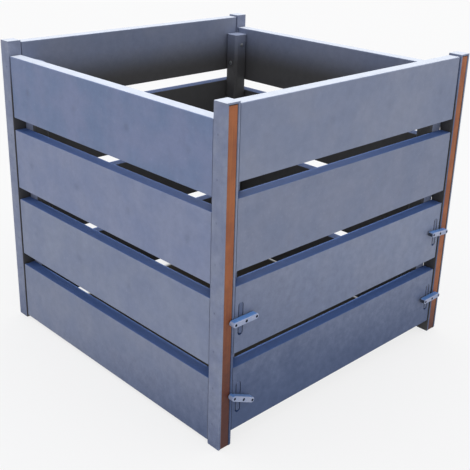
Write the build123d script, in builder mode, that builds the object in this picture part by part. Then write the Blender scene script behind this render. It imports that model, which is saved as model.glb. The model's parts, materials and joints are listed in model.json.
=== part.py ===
# A slatted compost bin of recycled-plastic planks, whose lower front planks come off at turn-button latches.
# Millimetres. +Z is up, the front faces -Y, and the origin is the bottom centre of the whole box.
import os
from math import cos, radians, sin

from build123d import *

os.makedirs("parts", exist_ok=True)

# Footprint over the corner posts
width = 1050.0
depth = 1050.0

# Planks, numbered from the top of each wall
board_count = 4
board_height = 200.0
board_thickness = 40.0
board_edge_radius = 2.5
board_end_gap = 4.0
access_count = 2

# Stacking of the front and rear planks, and of the side planks, which sit lower
wall_board_gap = 43.0
wall_top_drop = 6.0
wall_ground_gap = 45.0
side_top_drop = 46.0
side_ground_gap = 11.0

# Corner posts, with a groove in the outward face for the cover strip
post_side = 46.0
post_edge = 1.0
foot_inset = 4.0
foot_height = 6.0
groove_width = 32.0
groove_depth = 8.0

# Cover strips
strip_recess = 1.5
strip_side_gap = 1.0
strip_end_gap = 3.0
strip_edge = 1.0

# Post caps, each located by a square spigot in a pocket
cap_thickness = 5.0
spigot_side = 14.0
spigot_length = 16.0
spigot_clearance = 0.2

# Battens in the inner corners
batten_side = 58.0
batten_edge = 2.0
batten_top_drop = 20.0
batten_ground_gap = 60.0

# Screws that repeat are drawn with few sides, and their clearance holes alike
screw_sides = 6
screw_clearance = 0.25

# Long screws through the posts into the ends of the side planks, with sunk heads
post_screw_diameter = 7.0
post_screw_head_diameter = 13.0
post_screw_head_height = 5.0
post_screw_bite = 60.0
post_screw_rise = 30.0

# Hexagon-head screws through the battens into planks and latch keys
batten_screw_diameter = 6.0
batten_screw_head_across = 10.0
batten_screw_head_height = 4.0
batten_screw_cover = 10.0
side_screw_drop = 30.0
key_screw_drop = 30.0

# Turn-button latches: bar, key, slot and pivot
bar_length = 92.0
bar_height = 16.0
bar_depth = 18.0
bar_edge = 1.5
bar_hole_inset = 8.0
bar_hole_diameter = 8.0
bar_post_gap = 2.0
slot_end_play = 6.0
slot_side_play = 3.0
key_width = 13.0
key_hang_clearance = 0.3
pivot_diameter = 5.0
pivot_head_diameter = 8.0
pivot_head_height = 4.0
pivot_head_clearance = 0.4
pivot_seat_depth = 9.0
pivot_bite = 35.0
pivot_clearance = 0.08
bar_end_float = 0.2
spacer_across = 12.0

# How each bar was left: the angle of its right end above the level, seen from the front
bar_angles = {"upper_left": 0.0, "upper_right": -6.0, "lower_left": -26.0, "lower_right": 0.0}

# Heights that follow
height = wall_ground_gap + board_count * board_height + (board_count - 1) * wall_board_gap + wall_top_drop
post_height = height - cap_thickness
side_stack = height - side_top_drop - side_ground_gap
side_board_gap = (side_stack - board_count * board_height) / (board_count - 1)
wall_heights = [height - wall_top_drop - board_height / 2 - i * (board_height + wall_board_gap)
                for i in range(board_count)]
side_heights = [height - side_top_drop - board_height / 2 - i * (board_height + side_board_gap)
                for i in range(board_count)]
batten_top = height - side_top_drop - batten_top_drop

# Depths from a wall's outer face: plank face, batten face and batten's inner face
recess = (post_side - board_thickness) / 2
batten_start = recess + board_thickness
batten_end = batten_start + batten_side
batten_middle = batten_start + batten_side / 2

# The latch bars stand out at the front, so the middle of the walls lies behind the origin
bar_reach = bar_post_gap + bar_depth
middle_y = bar_reach / 2
front_y = middle_y - depth / 2

# Latch sizes that follow
slot_length = bar_length + slot_end_play
slot_width = bar_height + slot_side_play
key_length = bar_length
key_rise = (slot_length - key_length) / 2 - key_hang_clearance
latch_x = width / 2 - batten_middle
spacer_length = recess + bar_post_gap - bar_end_float
access_heights = dict(zip(("upper", "lower"), wall_heights[-access_count:]))

corners = {"front_left": (-1, -1), "front_right": (1, -1), "rear_left": (-1, 1), "rear_right": (1, 1)}
hands = {"left": -1, "right": 1}
latches = {f"{level}_{hand}": (hands[hand] * latch_x, access_heights[level] + key_rise)
           for level in access_heights for hand in hands}


def from_end(inset, end):
    return middle_y + end * (depth / 2 - inset)


def from_side(inset, side):
    return side * (width / 2 - inset)


def facing_y(x, y, z, end, angle=0.0):
    turned = (cos(radians(angle)), 0, sin(radians(angle)))
    return Plane(origin=(x, y, z), x_dir=turned, z_dir=(0, end, 0))


def facing_x(x, y, z, side):
    return Plane(origin=(x, y, z), x_dir=(0, 1, 0), z_dir=(side, 0, 0))


def save(piece, name):
    piece.part.label = name
    export_step(piece.part, f"parts/{name}.step")


# Where the screws' heads sit, one list for each corner. Every plane faces away from what the screw enters.
def post_screw_planes(side, end):
    ends_of_stack = (side_heights[0], side_heights[-1])
    return [facing_y(from_side(post_side / 2, side), from_end(groove_depth, end), z + post_screw_rise, end)
            for z in ends_of_stack]


def side_screw_planes(side, end):
    return [facing_x(from_side(batten_end, side), from_end(batten_middle, end), z - side_screw_drop, -side)
            for z in side_heights]


def wall_screw_planes(side, end):
    fixed_boards = wall_heights if end > 0 else wall_heights[:-access_count]
    keys = [] if end > 0 else [z + key_rise - key_screw_drop for z in access_heights.values()]
    return [facing_y(from_side(batten_middle, side), from_end(batten_end, end), z, -end)
            for z in (*fixed_boards, *keys)]


def gather(planes_of_corner):
    return [plane for side, end in corners.values() for plane in planes_of_corner(side, end)]


def screw_outlines(planes, diameter):
    with BuildSketch(*planes) as outlines:
        RegularPolygon(diameter / 2, screw_sides, major_radius=False)
    return outlines.sketch


def post_outline(x, y, z, inset):
    with BuildSketch(Plane((x, y, z))) as outline:
        Rectangle(post_side - 2 * inset, post_side - 2 * inset)
        chamfer(outline.vertices(), post_edge)
    return outline.sketch


# Corner posts: a square bar with bevelled edges on an eased foot, grooved along the outward face
def make_post(name, side, end):
    x, y = from_side(post_side / 2, side), from_end(post_side / 2, end)
    foot_steps = ((0, foot_inset), (foot_height / 3, foot_inset / 3), (foot_height, 0))
    with BuildPart() as post:
        loft([post_outline(x, y, step_height, inset) for step_height, inset in foot_steps], ruled=True)
        extrude(post_outline(x, y, foot_height, 0), amount=post_height - foot_height)
        with BuildSketch(Plane((x, from_end(groove_depth / 2, end), 0))):
            Rectangle(groove_width, groove_depth)
        extrude(amount=post_height, mode=Mode.SUBTRACT)
        with BuildSketch(Plane((x, from_end((post_side + groove_depth) / 2, end), post_height))):
            Rectangle(spigot_side + 2 * spigot_clearance, spigot_side + 2 * spigot_clearance)
        extrude(amount=-spigot_length - spigot_clearance, mode=Mode.SUBTRACT)
        screw_planes = post_screw_planes(side, end)
        shank_holes = screw_outlines(screw_planes, post_screw_diameter + 2 * screw_clearance)
        extrude(shank_holes, amount=-post_side, mode=Mode.SUBTRACT)
        head_holes = screw_outlines(screw_planes, post_screw_head_diameter + 2 * screw_clearance)
        extrude(head_holes, amount=-post_screw_head_height, mode=Mode.SUBTRACT)
    save(post, f"post_{name}")


# Post caps: a plate that closes the groove, with its spigot in the solid part of the post
def make_cap(name, side, end):
    x, y = from_side(post_side / 2, side), from_end(post_side / 2, end)
    with BuildPart() as cap:
        extrude(post_outline(x, y, post_height, 0), amount=cap_thickness)
        with BuildSketch(Plane((x, from_end((post_side + groove_depth) / 2, end), post_height))):
            Rectangle(spigot_side, spigot_side)
        extrude(amount=-spigot_length)
    save(cap, f"cap_{name}")


# Cover strips: flat bars on the groove's floor, just below the post's face
def make_strip(name, side, end):
    x, y = from_side(post_side / 2, side), from_end((groove_depth + strip_recess) / 2, end)
    with BuildPart() as strip:
        with BuildSketch(Plane((x, y, strip_end_gap))):
            Rectangle(groove_width - 2 * strip_side_gap, groove_depth - strip_recess)
        extrude(amount=post_height - 2 * strip_end_gap)
        outer_face = strip.faces().sort_by(Axis.Y)[0 if end < 0 else -1]
        chamfer(outer_face.edges().filter_by(Axis.Z), strip_edge)
    save(strip, f"cover_strip_{name}")


# Inner battens: square bars with bevelled edges, one of which clears the corner of the post
def make_batten(name, side, end):
    x, y = from_side(batten_middle, side), from_end(batten_middle, end)
    with BuildPart() as batten:
        with BuildSketch(Plane((x, y, batten_ground_gap))) as section:
            Rectangle(batten_side, batten_side)
            chamfer(section.vertices(), 2 * max(recess, 0) + batten_edge)
        extrude(amount=batten_top - batten_ground_gap)
        screw_planes = side_screw_planes(side, end) + wall_screw_planes(side, end)
        shank_holes = screw_outlines(screw_planes, batten_screw_diameter + 2 * screw_clearance)
        extrude(shank_holes, amount=-batten_side, mode=Mode.SUBTRACT)
    save(batten, f"batten_{name}")


for corner, (side, end) in corners.items():
    make_post(corner, side, end)
    make_cap(corner, side, end)
    make_strip(corner, side, end)
    make_batten(corner, side, end)


# Side planks, along the depth
for hand, side in hands.items():
    for number, z in enumerate(side_heights, start=1):
        start = front_y + post_side + board_end_gap
        with BuildPart() as side_board:
            with BuildSketch(facing_y(from_side(post_side / 2, side), start, z, 1)):
                RectangleRounded(board_thickness, board_height, board_edge_radius)
            extrude(amount=depth - 2 * (post_side + board_end_gap))
        save(side_board, f"{hand}_board_{number}")


# Front and rear planks, across the width. A slotted one hangs on two latch keys.
def make_wall_board(name, end, z, slotted):
    start = -width / 2 + post_side + board_end_gap
    with BuildPart() as board:
        with BuildSketch(facing_x(start, from_end(post_side / 2, end), z, 1)):
            RectangleRounded(board_thickness, board_height, board_edge_radius)
        extrude(amount=width - 2 * (post_side + board_end_gap))
        if slotted:
            with BuildSketch(facing_y(0, from_end(recess, end), z, end)):
                with GridLocations(2 * latch_x, 0, 2, 1):
                    SlotOverall(slot_length, slot_width, rotation=90)
            extrude(amount=-board_thickness, mode=Mode.SUBTRACT)
    save(board, name)


for number, z in enumerate(wall_heights, start=1):
    make_wall_board(f"rear_board_{number}", 1, z, slotted=False)
for number, z in enumerate(wall_heights[:-access_count], start=1):
    make_wall_board(f"front_board_{number}", -1, z, slotted=False)
for level, z in access_heights.items():
    make_wall_board(f"access_board_{level}", -1, z, slotted=True)


# Latch keys: upright blocks from the battens to the face of the access planks
def make_key(name, x, z):
    with BuildPart() as key:
        with BuildSketch(facing_y(x, from_end(batten_start, -1), z, -1)):
            SlotOverall(key_length, key_width, rotation=90)
        extrude(amount=board_thickness)
        front = facing_y(x, from_end(recess, -1), z, -1)
        pivot_hole = screw_outlines([front], pivot_diameter + 2 * screw_clearance)
        extrude(pivot_hole, amount=-board_thickness, mode=Mode.SUBTRACT)
    save(key, f"latch_key_{name}")


# Latch bars: round-ended bars with a finger hole near each end and a deep seat for the pivot screw
def make_bar(name, x, z):
    angle = bar_angles[name]
    with BuildPart() as bar:
        with BuildSketch(facing_y(x, front_y - bar_post_gap, z, -1, angle)):
            SlotOverall(bar_length, bar_height)
        extrude(amount=bar_depth)
        chamfer(bar.faces().sort_by(Axis.Y)[0].edges(), bar_edge)
        with Locations(facing_y(x, front_y - bar_reach, z, -1, angle)):
            CounterBoreHole(pivot_diameter / 2 + pivot_clearance,
                            pivot_head_diameter / 2 + pivot_head_clearance,
                            pivot_seat_depth, depth=bar_depth)
            with GridLocations(bar_length - 2 * bar_hole_inset, 0, 2, 1):
                Hole(bar_hole_diameter / 2, depth=bar_depth)
    save(bar, f"latch_bar_{name}")


for latch, (x, z) in latches.items():
    make_key(latch, x, z)
    make_bar(latch, x, z)

# Hexagon spacers that hold the bars out past the posts
with BuildPart() as spacers:
    spacer_planes = [facing_y(x, from_end(recess, -1), z, -1) for x, z in latches.values()]
    with BuildSketch(*spacer_planes):
        RegularPolygon(spacer_across / 2, 6, major_radius=False)
    extrude(amount=spacer_length)
    bores = screw_outlines(spacer_planes, pivot_diameter + 2 * pivot_clearance)
    extrude(bores, amount=spacer_length, mode=Mode.SUBTRACT)
save(spacers, "latch_spacers")

# Pivot screws, with their heads deep in the bars and their tips in the battens
pivot_planes = [facing_y(x, front_y - bar_reach + pivot_seat_depth - bar_end_float, z, -1)
                for x, z in latches.values()]
pivot_length = bar_reach - pivot_seat_depth + bar_end_float + batten_start + pivot_bite
with BuildPart() as pivot_screws:
    with BuildSketch(*pivot_planes):
        Circle(pivot_diameter / 2)
    extrude(amount=-pivot_length)
    with BuildSketch(*pivot_planes):
        RegularPolygon(pivot_head_diameter / 2, screw_sides)
    extrude(amount=pivot_head_height)
save(pivot_screws, "pivot_screws")

# Screws of the posts, with their heads sunk below the groove's floor
with BuildPart() as post_screws:
    shanks = screw_outlines(gather(post_screw_planes), post_screw_diameter)
    extrude(shanks, amount=-(post_side - groove_depth + board_end_gap + post_screw_bite))
    heads = screw_outlines(gather(post_screw_planes), post_screw_head_diameter)
    extrude(heads, amount=-post_screw_head_height)
save(post_screws, "post_screws")

# Hexagon-head screws of the battens
for name, planes in (("side_screws", gather(side_screw_planes)), ("wall_screws", gather(wall_screw_planes))):
    with BuildPart() as batten_screws:
        shanks = screw_outlines(planes, batten_screw_diameter)
        extrude(shanks, amount=-(batten_side + board_thickness - batten_screw_cover))
        with BuildSketch(*planes):
            RegularPolygon(batten_screw_head_across / 2, 6, major_radius=False)
        extrude(amount=batten_screw_head_height)
    save(batten_screws, name)
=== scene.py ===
import json
import math

import bmesh
import bpy
from mathutils import Matrix, Vector
from mathutils.bvhtree import BVHTree

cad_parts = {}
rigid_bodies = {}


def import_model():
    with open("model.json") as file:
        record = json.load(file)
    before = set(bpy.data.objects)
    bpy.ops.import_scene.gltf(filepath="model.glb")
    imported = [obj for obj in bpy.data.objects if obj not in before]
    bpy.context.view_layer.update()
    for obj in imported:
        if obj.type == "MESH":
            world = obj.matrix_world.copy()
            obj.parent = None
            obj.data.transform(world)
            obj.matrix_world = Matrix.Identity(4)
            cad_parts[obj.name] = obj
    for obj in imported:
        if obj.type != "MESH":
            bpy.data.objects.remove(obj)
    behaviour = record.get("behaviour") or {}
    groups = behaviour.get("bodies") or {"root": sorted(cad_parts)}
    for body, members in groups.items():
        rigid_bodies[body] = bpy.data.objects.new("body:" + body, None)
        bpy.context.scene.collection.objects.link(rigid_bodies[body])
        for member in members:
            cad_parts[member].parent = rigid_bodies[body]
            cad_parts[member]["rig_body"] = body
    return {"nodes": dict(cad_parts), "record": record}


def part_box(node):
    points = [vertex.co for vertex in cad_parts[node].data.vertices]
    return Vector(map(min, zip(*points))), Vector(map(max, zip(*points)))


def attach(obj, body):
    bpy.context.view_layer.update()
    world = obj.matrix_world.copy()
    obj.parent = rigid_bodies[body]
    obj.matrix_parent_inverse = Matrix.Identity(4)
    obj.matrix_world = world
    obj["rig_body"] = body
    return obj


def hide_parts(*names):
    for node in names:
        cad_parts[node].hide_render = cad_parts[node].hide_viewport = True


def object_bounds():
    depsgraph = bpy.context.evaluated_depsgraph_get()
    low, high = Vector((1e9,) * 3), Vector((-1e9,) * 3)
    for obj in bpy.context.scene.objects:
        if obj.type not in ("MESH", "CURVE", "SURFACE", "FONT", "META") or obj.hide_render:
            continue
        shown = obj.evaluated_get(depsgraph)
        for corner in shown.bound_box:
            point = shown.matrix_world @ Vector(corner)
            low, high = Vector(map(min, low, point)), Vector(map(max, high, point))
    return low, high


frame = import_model()
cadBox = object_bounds()
nodes = frame["nodes"]
slotOf = {row["node"]: row["material_slot"] for row in frame["record"]["subparts"]}
mm = 0.001
print("frame loaded:", len(nodes), "nodes")


# Colours are written as sRGB hex codes and shaded in linear light
def srgb(code):
    channels = [int(code[i:i + 2], 16) / 255 for i in (1, 3, 5)]
    linear = [c / 12.92 if c <= 0.04045 else ((c + 0.055) / 1.055) ** 2.4 for c in channels]
    return (*linear, 1.0)


def addNode(tree, kind, settings, inputs):
    node = tree.nodes.new("ShaderNode" + kind)
    for name, value in settings.items():
        setattr(node, name, value)
    for name, value in inputs.items():
        if isinstance(value, bpy.types.NodeSocket):
            tree.links.new(value, node.inputs[name])
        else:
            node.inputs[name].default_value = value
    return node


def newMaterial(name):
    material = bpy.data.materials.new(name)
    material.use_nodes = True
    material.node_tree.nodes.clear()
    return material, material.node_tree


# Recycled polyethylene, pressed hot into long bars: matt and a little waxy. Batches cloud into each
# other and the skin is finely mottled, with traces of flow lines along the bar and of rain streaks.
# Stray granules show as flecks. Painted light and shade on top of that: arrises paler (rub wear and a
# painted highlight), the mould's dishes darker (painted shade), upper faces tinted (painted sky-blue
# shade, painted sunlight on the uppermost), the foot of a wall darker (painted shade of the ground),
# and the faces that look into the bin or a hole darker (painted shade).
greyPlastic = {
    "base": "#7E8599", "cloud": "#778097", "flow": "#878D9F", "streak": "#70788F", "fleck": "#979DAE",
    "sunk": "#5F677D", "wearAndHighlight": "#8E96AB", "upper": "#44629A", "footShade": "#3E4F72", "insideShade": "#484643",
    "cloudSize": 130 * mm, "mottleSize": 26 * mm, "flowWidth": 18 * mm, "flowLength": 420 * mm,
    "streakWidth": 26 * mm, "streakLength": 320 * mm, "fleckSpacing": 15 * mm,
    "pit": 4 * mm,  # real pits are about 1 mm; drawn coarser so that they show
    "flowShare": 0.10, "streakShare": 0.10, "fleckShare": 0.15, "fleckScatter": 0.5, "sunkShare": 0.40,
    "wearAndHighlightShare": 0.45, "upperShare": 0.90, "mottleDepth": 0.085, "mottleBand": (0.25, 0.75),
    "footShadeTop": 300 * mm, "footShadeFade": 300 * mm, "footShadeRag": 0.4, "footShadeLean": (0, 0, 1), "footShadeShare": 0.20,
    "insideShadeTop": 930 * mm, "insideShadeFull": 800 * mm, "insideShadeShare": 0.95,
    "roughness": (0.50, 0.66), "gloss": 0.35, "ior": 1.5,
    "relief": 0.35 * mm, "flowRelief": 0.6, "reliefStrength": 0.6}
brownPlastic = {
    **greyPlastic,
    "base": "#9D5B35", "cloud": "#8A4E32", "flow": "#AC6E38", "streak": "#78472F", "fleck": "#5F3F33",
    "sunk": "#5F3F33", "wearAndHighlight": "#A97C5C", "upper": "#A98163", "footShade": "#4A231D", "insideShade": "#3A2C26",
    "cloudSize": 60 * mm, "flowWidth": 7 * mm, "flowLength": 240 * mm,
    "streakWidth": 9 * mm, "streakLength": 160 * mm, "fleckSpacing": 12 * mm,
    "flowShare": 0.50, "streakShare": 0.40, "fleckShare": 0.45, "wearAndHighlightShare": 0.50, "upperShare": 0.50,
    "mottleDepth": 0.05, "footShadeTop": 450 * mm, "footShadeFade": 450 * mm, "footShadeShare": 1.0,
    "roughness": (0.50, 0.68), "relief": 0.5 * mm}
# The latch's blue upper tone is a painted sky reflection on its tops
latchPlastic = {
    **greyPlastic,
    "base": "#9AA1B8", "cloud": "#8D9AB8", "flow": "#A3A9BB", "streak": "#8B95AF", "fleck": "#A9B1C4",
    # The near-black colour for faces that look into the holes is painted shade
    "sunk": "#7C849C", "wearAndHighlight": "#B3BACD", "upper": "#4F7FBC", "footShade": "#6C7893", "insideShade": "#1E222C",
    "cloudSize": 40 * mm, "flowWidth": 6 * mm, "flowLength": 60 * mm,
    "streakWidth": 9 * mm, "streakLength": 40 * mm, "fleckSpacing": 9 * mm, "pit": 3 * mm,
    "flowShare": 0.40, "streakShare": 0.30, "fleckShare": 0.30, "wearAndHighlightShare": 0.60,
    "mottleSize": 9 * mm, "mottleDepth": 0.06, "footShadeTop": 200 * mm, "footShadeFade": 200 * mm,
    "roughness": (0.36, 0.50), "gloss": 0.5, "relief": 0.2 * mm}


def recycledPlastic(name, look, along, seed):
    material, tree = newMaterial(name)
    coords = addNode(tree, "TexCoord", {}, {}).outputs
    offset = (seed * 1.7, seed * 2.3, seed * 3.1)  # no two bars share a stretch of pattern
    place = addNode(tree, "Mapping", {}, {"Vector": coords["Object"], "Location": offset}).outputs[0]
    flowScale = [1 / look["flowWidth"]] * 3
    flowScale["XYZ".index(along)] = 1 / look["flowLength"]
    streakScale = (1 / look["streakWidth"], 1 / look["streakWidth"], 1 / look["streakLength"])
    flowSpace = addNode(tree, "Mapping", {}, {"Vector": place, "Scale": flowScale}).outputs[0]
    streakSpace = addNode(tree, "Mapping", {}, {"Vector": place, "Scale": streakScale}).outputs[0]
    clouds = addNode(tree, "TexNoise", {},
                     {"Vector": place, "Scale": 1 / look["cloudSize"], "Detail": 5.0}).outputs[0]
    mottles = addNode(tree, "TexNoise", {}, {"Vector": place, "Scale": 1 / look["mottleSize"],
                                             "Detail": 4.0, "Roughness": 0.75}).outputs[0]
    flow = addNode(tree, "TexNoise", {}, {"Vector": flowSpace, "Scale": 1.0, "Detail": 4.0}).outputs[0]
    streaks = addNode(tree, "TexNoise", {}, {"Vector": streakSpace, "Scale": 1.0, "Detail": 3.0}).outputs[0]
    pits = addNode(tree, "TexNoise", {},
                   {"Vector": place, "Scale": 1 / look["pit"], "Detail": 2.0}).outputs[0]
    cells = addNode(tree, "TexVoronoi", {}, {"Vector": place, "Scale": 1 / look["fleckSpacing"]}).outputs
    granules = addNode(tree, "Math", {"operation": "MULTIPLY_ADD"},
                       {0: cells["Color"], 1: look["fleckScatter"], 2: cells["Distance"]}).outputs[0]
    upward = addNode(tree, "SeparateXYZ", {}, {"Vector": coords["Normal"]}).outputs["Z"]
    above = addNode(tree, "SeparateXYZ", {}, {"Vector": coords["Object"]}).outputs["Z"]
    leaning = addNode(tree, "VectorMath", {"operation": "DOT_PRODUCT"},
                      {0: coords["Object"], 1: look["footShadeLean"]}).outputs["Value"]
    ragged = addNode(tree, "Math", {"operation": "ADD"}, {0: clouds, 1: mottles}).outputs[0]
    footShadeLine = addNode(tree, "Math", {"operation": "MULTIPLY_ADD"},
                   {0: ragged, 1: look["footShadeRag"] * look["footShadeFade"], 2: leaning}).outputs[0]
    footShadeStart = look["footShadeTop"] + look["footShadeRag"] * look["footShadeFade"]
    arris = addNode(tree, "Attribute", {"attribute_name": "arris"}, {}).outputs["Fac"]
    wearAndHighlightMask = addNode(tree, "Math", {"operation": "MULTIPLY"}, {0: arris, 1: streaks}).outputs[0]
    sunk = addNode(tree, "Attribute", {"attribute_name": "sunk"}, {}).outputs["Fac"]
    shadedDishes = addNode(tree, "Math", {"operation": "MULTIPLY"}, {0: sunk, 1: clouds}).outputs[0]
    sheltered = addNode(tree, "Attribute", {"attribute_name": "sheltered"}, {}).outputs["Fac"]
    shadedBelow = addNode(tree, "MapRange", {}, {"Value": above, "From Min": look["insideShadeTop"],
                                            "From Max": look["insideShadeFull"]}).outputs[0]
    insideShadeMask = addNode(tree, "Math", {"operation": "MULTIPLY"}, {0: sheltered, 1: shadedBelow}).outputs[0]

    # each layer: its colour, the pattern that places it, where that starts and is full, and its share
    layers = (("cloud", clouds, 0.35, 0.65, 1.0),
              ("flow", flow, 0.42, 0.75, look["flowShare"]),
              ("streak", streaks, 0.45, 0.75, look["streakShare"]),
              ("fleck", granules, 0.40, 0.22, look["fleckShare"]),
              # sunk: the mould dishes are painted darker, painted shade in the hollows
              ("sunk", shadedDishes, 0.0, 0.6, look["sunkShare"]),
              # painted shade: darker towards the ground, from the foot of a wall up
              ("footShade", footShadeLine, footShadeStart, footShadeStart - look["footShadeFade"], look["footShadeShare"]),
              # upper: painted light on upward faces: sky-blue painted shade on most, painted sunlight on
              # the uppermost
              ("upper", upward, 0.70, 0.98, look["upperShare"]),
              # paler arrises: rub wear together with a painted highlight along the edges
              ("wearAndHighlight", wearAndHighlightMask, 0.30, 0.60, look["wearAndHighlightShare"]),
              # painted shade on faces that look into the bin or a hole, fading out towards the top
              ("insideShade", insideShadeMask, 0.0, 1.0, look["insideShadeShare"]))
    colour = srgb(look["base"])
    for shade, pattern, start, full, share in layers:
        mask = addNode(tree, "MapRange", {"interpolation_type": "SMOOTHSTEP"},
                       {"Value": pattern, "From Min": start, "From Max": full, "To Max": share}).outputs[0]
        colour = addNode(tree, "Mix", {"data_type": "RGBA"},
                         {0: mask, 6: colour, 7: srgb(look[shade])}).outputs[2]
    dark, pale = look["mottleBand"]
    mottling = addNode(tree, "MapRange", {},
                       {"Value": mottles, "From Min": dark, "From Max": pale,
                        "To Min": 1 - look["mottleDepth"], "To Max": 1 + look["mottleDepth"]}).outputs[0]
    colour = addNode(tree, "Mix", {"data_type": "RGBA", "blend_type": "MULTIPLY"},
                     {0: 1.0, 6: colour, 7: mottling}).outputs[2]

    smooth, rough = look["roughness"]
    roughness = addNode(tree, "MapRange", {},
                        {"Value": clouds, "To Min": smooth, "To Max": rough}).outputs[0]
    relief = addNode(tree, "Math", {"operation": "MULTIPLY_ADD"},
                     {0: flow, 1: look["flowRelief"], 2: pits}).outputs[0]
    bump = addNode(tree, "Bump", {}, {"Height": relief, "Distance": look["relief"],
                                      "Strength": look["reliefStrength"]}).outputs[0]
    shader = addNode(tree, "BsdfPrincipled", {},
                     {"Base Color": colour, "Roughness": roughness, "IOR": look["ior"],
                      "Specular IOR Level": look["gloss"], "Normal": bump})
    addNode(tree, "OutputMaterial", {}, {"Surface": shader.outputs[0]})
    return material


# Zinc-plated steel, rolled and tumbled: a dull silver with soft patchy gloss
zincSteel = {"base": "#B9BBBD", "dull": "#96999D", "patch": 3 * mm, "dullBand": (0.35, 0.7),
             "roughness": (0.28, 0.46)}


def platedSteel(name, look):
    material, tree = newMaterial(name)
    coords = addNode(tree, "TexCoord", {}, {}).outputs["Object"]
    patches = addNode(tree, "TexNoise", {},
                      {"Vector": coords, "Scale": 1 / look["patch"], "Detail": 2.0}).outputs[0]
    bright, dull = look["dullBand"]
    dullness = addNode(tree, "MapRange", {"interpolation_type": "SMOOTHSTEP"},
                       {"Value": patches, "From Min": bright, "From Max": dull}).outputs[0]
    colour = addNode(tree, "Mix", {"data_type": "RGBA"},
                     {0: dullness, 6: srgb(look["base"]), 7: srgb(look["dull"])}).outputs[2]
    smooth, rough = look["roughness"]
    roughness = addNode(tree, "MapRange", {},
                        {"Value": patches, "To Min": smooth, "To Max": rough}).outputs[0]
    shader = addNode(tree, "BsdfPrincipled", {},
                     {"Base Color": colour, "Roughness": roughness, "Metallic": 1.0})
    addNode(tree, "OutputMaterial", {}, {"Surface": shader.outputs[0]})
    return material


steel = platedSteel("zincPlatedSteel", zincSteel)
print("materials ready")


# A finished bmesh becomes a piece that stands for a CAD node and moves with its body
def showPiece(bm, name, material, nodeName):
    mesh = bpy.data.meshes.new(name)
    bm.to_mesh(mesh)
    bm.free()
    mesh.materials.append(material)
    mesh.shade_smooth()
    mesh.set_sharp_from_angle(angle=math.radians(easing["arrisAngle"]))
    piece = bpy.data.objects.new(name, mesh)
    bpy.context.scene.collection.objects.link(piece)
    evenNormals = piece.modifiers.new("evenNormals", "WEIGHTED_NORMAL")
    evenNormals.keep_sharp = True
    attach(piece, nodes[nodeName]["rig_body"])
    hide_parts(nodeName)


mergeReach = 0.01 * mm


def mergedCopy(nodeName):
    bm = bmesh.new()
    bm.from_mesh(nodes[nodeName].data)
    bmesh.ops.remove_doubles(bm, verts=bm.verts, dist=mergeReach)
    return bm


# The solid's own shape, with every sawn or moulded arris taken off. Two face values guide the colour:
# arris on the eased edges, for paler arrises (wear and a painted highlight), and sheltered on what looks
# into the bin or a hole, for painted shade
easing = {"flatAngle": 1.0, "arrisAngle": 28.0, "segments": 2, "holeReach": 12 * mm, "lift": 0.1 * mm,
          "board": 0.9 * mm, "post": 0.35 * mm, "cap": 0.35 * mm, "cover": 0.5 * mm, "batten": 1.0 * mm,
          "key": 0.6 * mm, "bar": 0.5 * mm, "fixing": 0.3 * mm}
facing = {"roughly": 0.7, "squarely": 0.99}  # least cosine between a normal and the way it should face
binMiddle = (cadBox[0] + cadBox[1]) / 2


def isSheltered(face, surface):
    centre, normal = face.calc_center_median(), face.normal
    facesBin = any(abs(normal[axis]) > facing["roughly"]
                   and normal[axis] * (binMiddle[axis] - centre[axis]) > 0 for axis in (0, 1))
    facesHole = surface.ray_cast(centre + normal * easing["lift"], normal, easing["holeReach"])[0]
    return facesBin or facesHole is not None


def barDirection(nodeName):
    low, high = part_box(nodeName)
    lengths = list(high - low)
    return "XYZ"[lengths.index(max(lengths))]


# Shallow round marks of the mould's pins in the outer faces: four along each plank, eight up each post.
# They lie evenly to both sides of the middle, on the plank's middle line or set in from the groove's face.
# The material paints the dishes darker: painted shade in the hollows
mouldMarks = {"board": {"first": 128 * mm, "spacing": 256 * mm, "pairs": 2, "radius": 23 * mm,
                        "depth": 0.8 * mm},
              "post": {"first": 69 * mm, "spacing": 114 * mm, "pairs": 4, "radius": 6 * mm,
                       "depth": 0.4 * mm, "setIn": 28.5 * mm}}
markCuts = 9  # cuts across a mark, so that the dish is round
cutSnap = easing["lift"] / 100  # a cut this close to a corner goes through it


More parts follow.
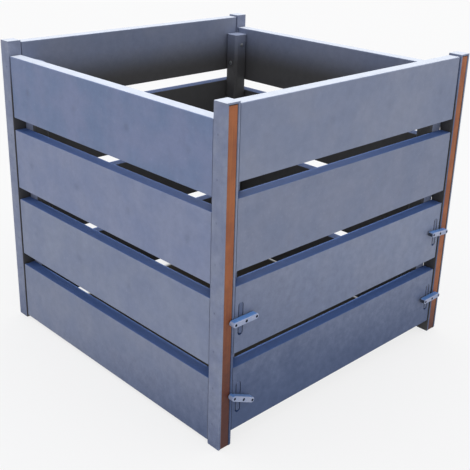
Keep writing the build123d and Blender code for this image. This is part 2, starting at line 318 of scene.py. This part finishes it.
def pressMarks(bm, nodeName, marks):
    sunk = bm.verts.layers.float.new("sunk")
    low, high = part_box(nodeName)
    centre = (low + high) / 2
    alongAxis = "XYZ".index(barDirection(nodeName))
    outAxis = 0 if "setIn" in marks or alongAxis == 1 else 1
    crossAxis = 3 - alongAxis - outAxis
    outward = Vector((0, 0, 0))
    outward[outAxis] = 1 if centre[outAxis] > binMiddle[outAxis] else -1
    if "setIn" in marks:
        rear = centre[crossAxis] > binMiddle[crossAxis]
        centre[crossAxis] = high[crossAxis] - marks["setIn"] if rear else low[crossAxis] + marks["setIn"]
    offsets = [side * (marks["first"] + i * marks["spacing"])
               for side in (-1, 1) for i in range(marks["pairs"])]
    places = []
    for offset in offsets:
        place = centre.copy()
        place[alongAxis] += offset
        places.append(place)
    outer = max((face for face in bm.faces if face.normal.dot(outward) > facing["squarely"]),
                key=lambda face: face.calc_area())
    level = outer.calc_center_median()[outAxis]

    def outerFaces():
        return [face for face in bm.faces if face.normal.dot(outward) > facing["squarely"]
                and abs(face.calc_center_median()[outAxis] - level) < easing["lift"]]

    # cut the outer face along the rims of the marks, so that each has a square of its own
    for axis, values in ((alongAxis, [place[alongAxis] for place in places]),
                         (crossAxis, [centre[crossAxis]])):
        across = Vector((0, 0, 0))
        across[axis] = 1
        for value in values:
            for rim in (value - marks["radius"], value + marks["radius"]):
                faces = outerFaces()
                edges = dict.fromkeys(edge for face in faces for edge in face.edges)
                verts = dict.fromkeys(vert for face in faces for vert in face.verts)
                bmesh.ops.bisect_plane(bm, geom=[*verts, *edges, *faces], dist=cutSnap,
                                       plane_co=across * rim, plane_no=across)
    for place in places:
        place[outAxis] = level
        patch = min(outerFaces(), key=lambda face: (face.calc_center_median() - place).length)
        bmesh.ops.subdivide_edges(bm, edges=patch.edges, cuts=markCuts, use_grid_fill=True)
    for vert in bm.verts:
        reach = min((vert.co - place).length for place in places) / marks["radius"]
        if reach < 1:
            vert[sunk] = 0.5 + 0.5 * math.cos(math.pi * reach)
            vert.co -= outward * marks["depth"] * vert[sunk]


def easedPiece(nodeName, kind, material):
    bm = mergedCopy(nodeName)
    arrisMark = bm.faces.layers.float.new("arris")
    bmesh.ops.dissolve_limit(bm, angle_limit=math.radians(easing["flatAngle"]),
                             verts=bm.verts, edges=bm.edges)
    arrises = [edge for edge in bm.edges
               if edge.is_manifold and edge.calc_face_angle() > math.radians(easing["arrisAngle"])]
    eased = bmesh.ops.bevel(bm, geom=arrises, offset=easing[kind], offset_type="OFFSET", affect="EDGES",
                            segments=easing["segments"], profile=0.5, clamp_overlap=True, material=-1)
    for face in eased["faces"]:
        face[arrisMark] = 1.0
    bm.normal_update()
    if kind in mouldMarks:
        pressMarks(bm, nodeName, mouldMarks[kind])
    sheltered = bm.faces.layers.float.new("sheltered")
    bm.normal_update()
    surface = BVHTree.FromBMesh(bm)
    for face in bm.faces:
        face[sheltered] = isSheltered(face, surface)
    showPiece(bm, "eased_" + nodeName, material, nodeName)


# Which plastic each kind of piece is cut from, and the slot of the record that it belongs to
cutFrom = {"board": ("plank_plastic", "pressedGreyPolyethylene", greyPlastic),
           "post": ("plank_plastic", "pressedGreyPolyethylene", greyPlastic),
           "cap": ("plank_plastic", "pressedGreyPolyethylene", greyPlastic),
           "batten": ("plank_plastic", "pressedGreyPolyethylene", greyPlastic),
           "key": ("plank_plastic", "pressedGreyPolyethylene", greyPlastic),
           "cover": ("strip_plastic", "pressedBrownPolyethylene", brownPlastic),
           "bar": ("latch_plastic", "mouldedPaleGreyPolyethylene", latchPlastic)}
# What sets kinds and single pieces apart: painted sunlight on the uppermost tops, knocked posts, painted
# shade at the foot of the hatch, how plainly the mould marks show, other batches, and on the left wall a
# tint that paints the bluish light of that side
sunlitTop = {"upper": "#ADB2BA", "upperShare": 0.85}
uppermostLine = cadBox[1].z - 60 * mm  # pieces that reach above this are the uppermost ones
knockedPost = {"base": "#81889C", "cloud": "#767E96", "cloudSize": 55 * mm, "mottleSize": 20 * mm,
               "mottleDepth": 0.13, "streakShare": 0.30, "sunkShare": 0.85,
               "footShadeTop": 238 * mm, "footShadeFade": 450 * mm, "footShadeShare": 1.0}


# Painted shade at the foot stands higher on a post's lip beside the planks, where plank and post shade each
# other, than on its outer side, where the post's set top height holds
def postFootShade(lean):
    outerSide = cadBox[1].x
    return {"footShadeLean": (lean, 0, 1), "footShadeTop": knockedPost["footShadeTop"] + abs(lean) * outerSide}


# The hatch boards and keys: painted shade at the foot, standing higher towards the left
shadedHatch = {"footShadeTop": 570 * mm, "footShadeFade": 470 * mm, "footShadeLean": (0.32, 0, 1), "mottleDepth": 0.10,
            "sunkShare": 0.08}
apart = {
    "post": knockedPost,
    "post_front_left": postFootShade(-9.5), "post_front_right": postFootShade(21),
    "post_rear_left": postFootShade(-9.5), "post_rear_right": postFootShade(9.5),
    "cover_strip_front_left": {"footShadeTop": 680 * mm, "footShadeFade": 640 * mm},
    "cover_strip_front_right": {"footShadeTop": 200 * mm, "footShadeFade": 220 * mm},
    "key": {**shadedHatch, "base": "#6C748A", "cloud": "#666F87", "footShadeShare": 0.80},
    "access_board_lower": {**shadedHatch, "footShadeTop": 470 * mm, "footShadeFade": 480 * mm, "footShadeLean": (0.13, 0, 1),
                           "footShadeShare": 1.0},
    "access_board_upper": {**shadedHatch, "base": "#82899D", "cloud": "#7B849B", "footShadeShare": 0.50},
    # Batten tops: a duller painted top tone, painted shade under the planks
    "batten": {"upper": "#5C6478", "upperShare": 0.50},
    "left_board_4": {"footShadeTop": 155 * mm, "footShadeFade": 290 * mm, "footShadeLean": (0, 0.23, 1),
                     "footShadeShare": 0.85, "sunkShare": 0.15},
    "front_board_1": {"sunkShare": 0.20},
    "front_board_2": {"base": "#798095", "cloud": "#727B92", "sunkShare": 0.08},
    # The left wall's planks: bluer tints that paint the bluish light on that side
    "left_board_1": {"base": "#757F9D", "cloud": "#6A7A99", "flow": "#80889D", "streak": "#687390"},
    "left_board_2": {"base": "#8088A1", "cloud": "#79839F", "flow": "#898FA6", "streak": "#727B96"},
    "left_board_3": {"base": "#81899E", "cloud": "#7A839B", "flow": "#8A90A3", "streak": "#737B92",
                     "sunkShare": 0.30}}
plasticNodes = sorted(name for name in nodes if slotOf[name] != "fixing_steel")
for seed, nodeName in enumerate(plasticNodes, start=1):
    kind = next(word for word in cutFrom if word in nodeName.split("_"))
    slot, title, look = cutFrom[kind]
    look = {**look, **apart.get(kind, {}), **apart.get(nodeName, {})}
    if slot == "plank_plastic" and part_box(nodeName)[1].z > uppermostLine:
        look = {**look, **sunlitTop}
    along = "Z" if kind == "cap" else barDirection(nodeName)
    plastic = recycledPlastic(title + "." + nodeName, look, along, seed)
    easedPiece(nodeName, kind, plastic)
print("plastic pieces eased:", len(plasticNodes))

for nodeName in ("latch_spacers", "post_screws"):
    easedPiece(nodeName, "fixing", steel)


# Boxes of the separate screws in a group, in a steady order
def screwBoxes(nodeName):
    bm = mergedCopy(nodeName)
    left = set(bm.verts)
    boxes = []
    while left:
        found = {left.pop()}
        front = list(found)
        while front:
            near = {edge.other_vert(vert) for vert in front for edge in vert.link_edges}
            front = list(near & left)
            left -= near
            found |= near
        corners = [vert.co for vert in found]
        boxes.append((Vector(map(min, zip(*corners))), Vector(map(max, zip(*corners)))))
    bm.free()
    return sorted(boxes, key=lambda box: [round(value / mm) for value in box[0]])


# Turns a shape built up +Z from its seat so that it stands on seat and points along outward
def seated(seat, outward):
    return Matrix.Translation(seat) @ Vector(outward).to_track_quat("Z", "Y").to_matrix().to_4x4()


# A closed disc or prism between two heights, with its upper rim rounded
rimSegments = 3


def addDisc(bm, sides, radius, bottom, top, edge):
    base = bmesh.ops.create_circle(bm, cap_ends=True, segments=sides, radius=radius,
                                   matrix=Matrix.Translation((0, 0, bottom)))["verts"]
    grown = bmesh.ops.extrude_face_region(bm, geom=[base[0].link_faces[0]], use_keep_orig=True)["geom"]
    upper = [item for item in grown if isinstance(item, bmesh.types.BMVert)]
    bmesh.ops.translate(bm, verts=upper, vec=(0, 0, top - bottom))
    faces = list(dict.fromkeys(face for vert in base + upper for face in vert.link_faces))
    bmesh.ops.recalc_face_normals(bm, faces=faces)
    rim = [item for item in grown if isinstance(item, bmesh.types.BMEdge)]
    bmesh.ops.bevel(bm, geom=rim, offset=edge, offset_type="OFFSET", affect="EDGES",
                    segments=rimSegments, profile=0.5, material=-1)


# A lobed drive pressed into the highest face
def pressDrive(bm, rimWidth, depth, lobes, swelling):
    crown = max(bm.faces, key=lambda face: face.calc_center_median().z + face.calc_area())
    bmesh.ops.inset_region(bm, faces=[crown], thickness=rimWidth)
    for vert in crown.verts:
        swell = 1 + swelling * math.cos(lobes * math.atan2(vert.co.y, vert.co.x))
        vert.co.x *= swell
        vert.co.y *= swell
    grown = bmesh.ops.extrude_face_region(bm, geom=[crown])["geom"]
    floorVerts = [item for item in grown if isinstance(item, bmesh.types.BMVert)]
    bmesh.ops.translate(bm, verts=floorVerts, vec=(0, 0, -depth))
    bmesh.ops.delete(bm, geom=[crown], context="FACES_ONLY")


# One screw's mesh is made once, then set down at every seat of its group
def plantScrews(nodeName, model, seats):
    planted = bmesh.new()
    stamp = bpy.data.meshes.new("stamp")
    model.to_mesh(stamp)
    model.free()
    for place in seats:
        known = set(planted.verts)
        planted.from_mesh(stamp)
        fresh = [vert for vert in planted.verts if vert not in known]
        bmesh.ops.transform(planted, matrix=place, verts=fresh)
    bpy.data.meshes.remove(stamp)
    showPiece(planted, "turned_" + nodeName, steel, nodeName)
    print(nodeName, "made:", len(seats))


# Flanged hexagon-head screws of the battens, seen inside the bin
hexScrew = {"across": 10 * mm, "headHeight": 4 * mm, "flangeRadius": 7.5 * mm, "flange": 1.2 * mm,
            "shankRadius": 3 * mm, "headEdge": 0.7 * mm, "flangeEdge": 0.4 * mm, "shankEdge": 0.1 * mm,
            "headSides": 6, "flangeSides": 32, "shankSides": 16}
headCorner = hexScrew["across"] / 2 / math.cos(math.pi / hexScrew["headSides"])
flangeMiddle = hexScrew["flange"] / 2  # head and shank meet inside the flange
for nodeName, direction in (("side_screws", 0), ("wall_screws", 1)):
    seats = []
    for low, high in screwBoxes(nodeName):
        centre = (low + high) / 2
        inward = -1 if centre[direction] > binMiddle[direction] else 1
        outward = Vector((0, 0, 0))
        outward[direction] = inward
        head = high if inward > 0 else low
        seat = centre.copy()
        seat[direction] = head[direction] - inward * hexScrew["headHeight"]
        seats.append(seated(seat, outward))
    shank = (high - low)[direction] - hexScrew["headHeight"]
    bm = bmesh.new()
    addDisc(bm, hexScrew["flangeSides"], hexScrew["flangeRadius"], 0, hexScrew["flange"],
            hexScrew["flangeEdge"])
    addDisc(bm, hexScrew["headSides"], headCorner, flangeMiddle, hexScrew["headHeight"],
            hexScrew["headEdge"])
    addDisc(bm, hexScrew["shankSides"], hexScrew["shankRadius"], -shank, flangeMiddle,
            hexScrew["shankEdge"])
    plantScrews(nodeName, bm, seats)

# Pivot screws: low round heads with a six-lobed drive, deep in the middle hole of each latch bar
pivotScrew = {"headRadius": 3.9 * mm, "headHeight": 4 * mm, "headEdge": 0.6 * mm, "headSides": 36,
              "rimWidth": 1.3 * mm, "driveDepth": 2 * mm, "lobes": 6, "lobeSwelling": 0.10,
              "shankRadius": 2.5 * mm, "shankIntoHead": 0.5 * mm, "shankEdge": 0.1 * mm, "shankSides": 16}
seats = []
for low, high in screwBoxes("pivot_screws"):
    seat = (low + high) / 2
    seat.y = low.y + pivotScrew["headHeight"]
    seats.append(seated(seat, (0, -1, 0)))
shank = (high - low).y - pivotScrew["headHeight"]
bm = bmesh.new()
addDisc(bm, pivotScrew["headSides"], pivotScrew["headRadius"], 0, pivotScrew["headHeight"],
        pivotScrew["headEdge"])
pressDrive(bm, pivotScrew["rimWidth"], pivotScrew["driveDepth"], pivotScrew["lobes"],
           pivotScrew["lobeSwelling"])
addDisc(bm, pivotScrew["shankSides"], pivotScrew["shankRadius"], -shank, pivotScrew["shankIntoHead"],
        pivotScrew["shankEdge"])
plantScrews("pivot_screws", bm, seats)


# 1 where the camera sees a surface directly, in a gloss or through something clear, and 0 where the
# surface only sends light to others
def seenPlainly(tree):
    path = addNode(tree, "LightPath", {}, {}).outputs
    mirrored = addNode(tree, "Math", {"operation": "ADD"},
                       {0: path["Is Camera Ray"], 1: path["Is Glossy Ray"]}).outputs[0]
    return addNode(tree, "Math", {"operation": "ADD", "use_clamp": True},
                   {0: mirrored, 1: path["Is Transmission Ray"]}).outputs[0]


# Pale plain floor that keeps the object's soft shadow, and is painted dark inside the walls: painted shade.
# Where it is seen plainly, most of it is white
floorLook = {"size": 60.0, "colour": "#F5F3EE", "shadePatch": "#4A463F", "white": "#FFFFFF",
             "drop": 0.2 * mm, "whiteShare": 0.75,
             "shadePatchMiddle": (0, 25 * mm, 0), "shadePatchReach": (485 * mm, 465 * mm), "shadePatchFade": 30 * mm}
floorMesh = bpy.data.meshes.new("floor")
bm = bmesh.new()
bmesh.ops.create_grid(bm, x_segments=1, y_segments=1, size=floorLook["size"] / 2)
bm.to_mesh(floorMesh)
bm.free()
floor = bpy.data.objects.new("floor", floorMesh)
floor.location.z = -floorLook["drop"]
bpy.context.scene.collection.objects.link(floor)
floorMaterial, tree = newMaterial("palePlainFloor")
across = addNode(tree, "TexCoord", {}, {}).outputs["Object"]
fromMiddle = addNode(tree, "VectorMath", {"operation": "SUBTRACT"},
                     {0: across, 1: floorLook["shadePatchMiddle"]}).outputs[0]
distances = addNode(tree, "VectorMath", {"operation": "ABSOLUTE"}, {0: fromMiddle}).outputs[0]
reach = addNode(tree, "SeparateXYZ", {}, {"Vector": distances}).outputs
past = [addNode(tree, "MapRange", {"interpolation_type": "SMOOTHSTEP"},
                {"Value": distance, "From Min": edge, "From Max": edge + floorLook["shadePatchFade"]}).outputs[0]
        for distance, edge in zip(reach, floorLook["shadePatchReach"])]
outside = addNode(tree, "Math", {"operation": "MAXIMUM"}, {0: past[0], 1: past[1]}).outputs[0]
ground = addNode(tree, "Mix", {"data_type": "RGBA"},
                 {0: outside, 6: srgb(floorLook["shadePatch"]), 7: srgb(floorLook["colour"])}).outputs[2]
matt = addNode(tree, "BsdfDiffuse", {}, {"Color": ground})
plainWhite = addNode(tree, "Emission", {}, {"Color": srgb(floorLook["white"]), "Strength": 1.0})
whiteOutside = addNode(tree, "Math", {"operation": "MULTIPLY"},
                       {0: outside, 1: floorLook["whiteShare"]}).outputs[0]
whiteness = addNode(tree, "Math", {"operation": "MULTIPLY"},
                    {0: seenPlainly(tree), 1: whiteOutside}).outputs[0]
blend = addNode(tree, "MixShader", {}, {0: whiteness, 1: matt.outputs[0], 2: plainWhite.outputs[0]})
addNode(tree, "OutputMaterial", {}, {"Surface": blend.outputs[0]})
floorMesh.materials.append(floorMaterial)

# Even sky light, a little blue overhead and on the left, and white where it is seen plainly
skyLook = {"level": "#FFFFFF", "overhead": "#F3F6FF", "left": "#E4EAFF", "leftShare": 0.7, "strength": 1.0,
           "seen": "#FFFFFF"}
world = bpy.data.worlds.new("studio")
bpy.context.scene.world = world
world.use_nodes = True
tree = world.node_tree
tree.nodes.clear()
toSky = addNode(tree, "TexCoord", {}, {}).outputs["Generated"]
axes = addNode(tree, "SeparateXYZ", {}, {"Vector": toSky}).outputs
leftward = addNode(tree, "MapRange", {}, {"Value": axes["X"], "From Min": 0.0, "From Max": -1.0,
                                          "To Max": skyLook["leftShare"]}).outputs[0]
sides = addNode(tree, "Mix", {"data_type": "RGBA"},
                {0: leftward, 6: srgb(skyLook["level"]), 7: srgb(skyLook["left"])}).outputs[2]
sky = addNode(tree, "Mix", {"data_type": "RGBA", "clamp_factor": True},
              {0: axes["Z"], 6: sides, 7: srgb(skyLook["overhead"])}).outputs[2]
lit = addNode(tree, "Background", {}, {"Color": sky, "Strength": skyLook["strength"]})
white = addNode(tree, "Background", {}, {"Color": srgb(skyLook["seen"]), "Strength": 1.0})
blend = addNode(tree, "MixShader", {}, {0: seenPlainly(tree), 1: lit.outputs[0], 2: white.outputs[0]})
addNode(tree, "OutputWorld", {}, {"Surface": blend.outputs[0]})

# One broad lamp overhead, so that the uppermost faces are the brightest; the floor stays even without it
topLight = {"energy": 3.5, "spread": 12, "tilt": (-6, 0, -35)}
lamp = bpy.data.lights.new("topLight", "SUN")
lamp.energy = topLight["energy"]
lamp.angle = math.radians(topLight["spread"])
lampObject = bpy.data.objects.new("topLight", lamp)
lampObject.rotation_euler = [math.radians(angle) for angle in topLight["tilt"]]
bpy.context.scene.collection.objects.link(lampObject)
unlit = bpy.data.collections.new("notLitFromAbove")
unlit.objects.link(floor)
unlit.collection_objects[0].light_linking.link_state = "EXCLUDE"
lampObject.light_linking.receiver_collection = unlit
print("floor, sky and lamp set")

# Camera at the photograph's height and angle: front left, a little above
cameraLook = {"place": (-1.8184, -1.8690, 1.4495), "turn": (68.862, -1.390, -43.344), "lens": 63.214,
              "shift": (0.0169, -0.06188), "sensor": 36.0}
camera = bpy.data.cameras.new("camera")
camera.sensor_width = cameraLook["sensor"]
camera.lens = cameraLook["lens"]
camera.shift_x, camera.shift_y = cameraLook["shift"]
cameraObject = bpy.data.objects.new("camera", camera)
cameraObject.location = cameraLook["place"]
cameraObject.rotation_euler = [math.radians(angle) for angle in cameraLook["turn"]]
bpy.context.scene.collection.objects.link(cameraObject)
bpy.context.scene.camera = cameraObject
bpy.context.scene.view_settings.view_transform = "Standard"
print("camera set")
